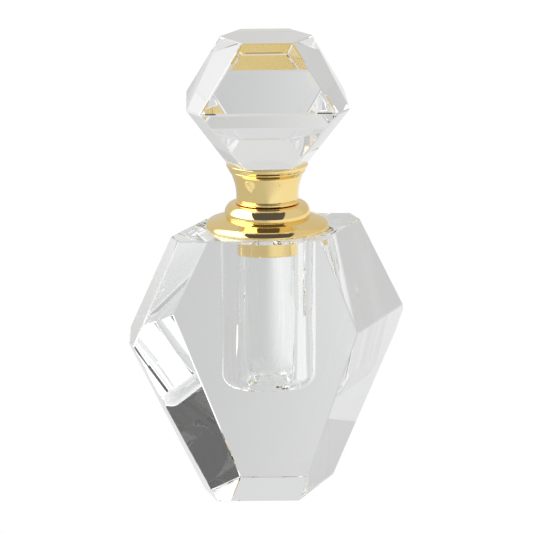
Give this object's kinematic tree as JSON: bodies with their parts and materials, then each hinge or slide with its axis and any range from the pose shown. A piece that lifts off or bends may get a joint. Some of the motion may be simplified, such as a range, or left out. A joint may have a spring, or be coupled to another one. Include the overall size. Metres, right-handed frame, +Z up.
{
  "type": "perfume bottle",
  "caption": "Faceted crystal perfume bottle with a drilled well, a turned gold neck collar and a screw cap carrying a faceted crystal knob.",
  "frame": {"origin": "centre of the foot, on the axis of the well, the neck and the screw cap", "axes": "+Z up along the axis of the well and the cap; the broad upright front facet faces -Y"},
  "size_m": [0.0511, 0.0296, 0.0846],
  "materials": {
    "crystal": "clear cut crystal, flat facets polished",
    "gold_plate": "polished gold plate",
    "ivory_plastic": "moulded, natural",
    "black_rubber": "matt"
  },
  "bodies": {
    "bottle": {"crystal_body": "crystal", "neck_collar": "gold_plate", "neck_tube": "gold_plate", "orifice_plug": "ivory_plastic"},
    "washer": {"seal_washer": "black_rubber"},
    "liner": {"cap_liner": "ivory_plastic"},
    "cap": {"cap_ferrule": "gold_plate", "cap_seat": "gold_plate", "stopper_crystal": "crystal"}
  },
  "joints": [
    {"name": "lift_off", "type": "slide", "parent": "bottle", "child": "washer", "axis": [0, 0, 1], "range_m": [0, 0.03]},
    {"name": "thread_rise", "type": "slide", "parent": "washer", "child": "liner", "axis": [0, 0, 1], "range_m": [0, 0.00301]},
    {"name": "cap_turn", "type": "hinge", "parent": "liner", "child": "cap", "pos_m": [0, 0, 0.054], "axis": [0, 0, 1], "range_deg": [0, 540]}
  ],
  "couplings": [
    {"joint": "thread_rise", "follows": "cap_turn", "m_per_rad": 0.00031831}
  ]
}
